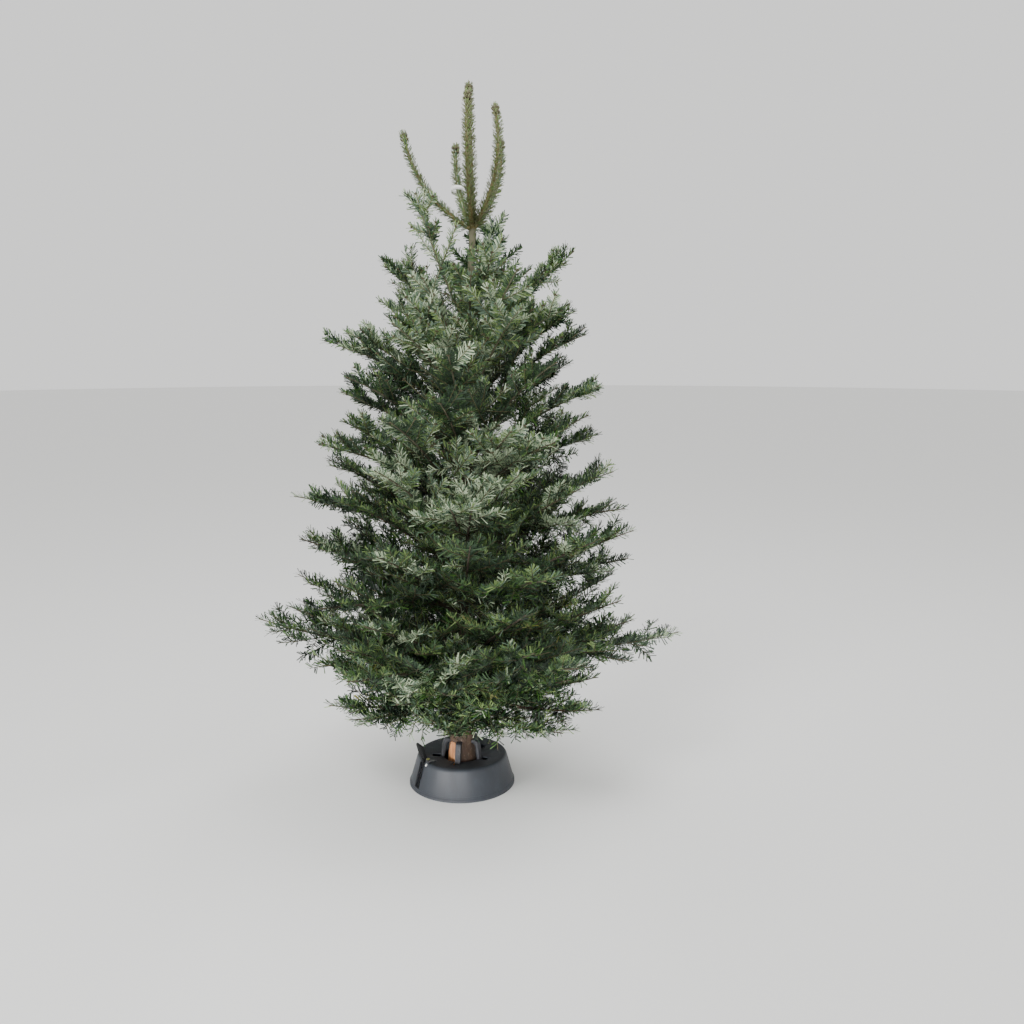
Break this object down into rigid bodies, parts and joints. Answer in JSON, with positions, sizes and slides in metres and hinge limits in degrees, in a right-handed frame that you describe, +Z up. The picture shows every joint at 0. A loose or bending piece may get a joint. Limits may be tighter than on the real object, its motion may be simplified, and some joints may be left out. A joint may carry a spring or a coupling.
{
  "type": "cut fir christmas tree in a stand",
  "caption": "Cut fir as a Christmas tree: a tapering crown of needled boughs in whorls on a leaning trunk, clamped in a conical stand with hinged claws and a foot pedal.",
  "frame": {"origin": "middle of the stand's flat underside, level with the floor", "axes": "+Z up the trunk, -Y towards the front of the tree, with the foot pedal at its front left"},
  "size_m": [1.3756, 1.1192, 2.2626],
  "materials": {
    "needles": "waxy dark green fir needles, paler underneath",
    "bark": "rough grey-brown bark",
    "stand_plastic": "charcoal semi-matte moulded plastic",
    "claw_metal": "dark grey painted steel",
    "pedal_plastic": "black ribbed plastic",
    "lock_plastic": "black lever with a yellow-green button",
    "label_film": "plain white film"
  },
  "bodies": {
    "tree": {"trunk": "bark", "bough_3_4": "bark", "bough_3_6": "bark", "leader_shoot": "needles", "top_shoot_1": "needles", "top_shoot_2": "needles", "top_shoot_3": "needles", "top_shoot_4": "needles", "top_shoot_5": "needles", "foliage_1_1": "needles", "foliage_1_2": "needles", "foliage_1_3": "needles", "foliage_1_4": "needles", "foliage_1_5": "needles", "foliage_2_1": "needles", "foliage_2_2": "needles", "foliage_2_3": "needles", "foliage_2_4": "needles", "foliage_3_1": "needles", "foliage_3_2": "needles", "foliage_3_3": "needles", "foliage_3_4": "needles", "foliage_3_5": "needles", "foliage_3_6": "needles", "foliage_4_1": "needles", "foliage_4_2": "needles", "foliage_4_3": "needles", "foliage_4_4": "needles", "foliage_5_1": "needles", "foliage_5_2": "needles", "foliage_5_3": "needles", "foliage_5_4": "needles", "foliage_6_1": "needles", "foliage_6_2": "needles", "foliage_6_3": "needles", "foliage_6_4": "needles", "foliage_6_5": "needles", "foliage_7_1": "needles", "foliage_7_2": "needles", "foliage_7_3": "needles", "foliage_7_4": "needles", "foliage_7_5": "needles", "foliage_8_1": "needles", "foliage_8_2": "needles", "foliage_8_3": "needles", "foliage_8_4": "needles", "foliage_8_5": "needles", "foliage_9_1": "needles", "foliage_9_2": "needles", "foliage_9_3": "needles", "foliage_9_4": "needles", "stand_body": "stand_plastic", "label": "label_film"},
    "claw_1": {"claw_1": "claw_metal"},
    "claw_2": {"claw_2": "claw_metal"},
    "claw_3": {"claw_3": "claw_metal"},
    "claw_4": {"claw_4": "claw_metal"},
    "claw_5": {"claw_5": "claw_metal"},
    "pedal": {"pedal": "pedal_plastic"},
    "lock_lever": {"lock_lever": "lock_plastic"}
  },
  "joints": [
    {"name": "claw_1_hinge", "type": "hinge", "parent": "tree", "child": "claw_1", "pos_m": [-0.01389, -0.07878, 0.03], "axis": [0.9848, -0.1736, 0], "range_deg": [0, 20]},
    {"name": "claw_2_hinge", "type": "hinge", "parent": "tree", "child": "claw_2", "pos_m": [0.07064, -0.03756, 0.03], "axis": [0.4695, 0.8829, 0], "range_deg": [0, 20]},
    {"name": "claw_3_hinge", "type": "hinge", "parent": "tree", "child": "claw_3", "pos_m": [0.05755, 0.05557, 0.03], "axis": [-0.6947, 0.7193, 0], "range_deg": [0, 20]},
    {"name": "claw_4_hinge", "type": "hinge", "parent": "tree", "child": "claw_4", "pos_m": [-0.03507, 0.0719, 0.03], "axis": [-0.8988, -0.4384, 0], "range_deg": [0, 20]},
    {"name": "claw_5_hinge", "type": "hinge", "parent": "tree", "child": "claw_5", "pos_m": [-0.07922, -0.01113, 0.03], "axis": [0.1392, -0.9903, 0], "range_deg": [0, 20]},
    {"name": "pedal_hinge", "type": "hinge", "parent": "tree", "child": "pedal", "pos_m": [-0.10346, -0.06465, 0.038], "axis": [0.5299, -0.848, 0], "range_deg": [0, 55], "stiffness_Nm_per_rad": 0.8, "springref_deg": -11.46},
    {"name": "lock_lever_hinge", "type": "hinge", "parent": "tree", "child": "lock_lever", "pos_m": [-0.10487, -0.08342, 0.0943], "axis": [0, 0, 1], "range_deg": [0, 45]}
  ],
  "couplings": [
    {"joint": "claw_2_hinge", "follows": "claw_1_hinge", "ratio": 1},
    {"joint": "claw_3_hinge", "follows": "claw_1_hinge", "ratio": 1},
    {"joint": "claw_4_hinge", "follows": "claw_1_hinge", "ratio": 1},
    {"joint": "claw_5_hinge", "follows": "claw_1_hinge", "ratio": 1}
  ]
}
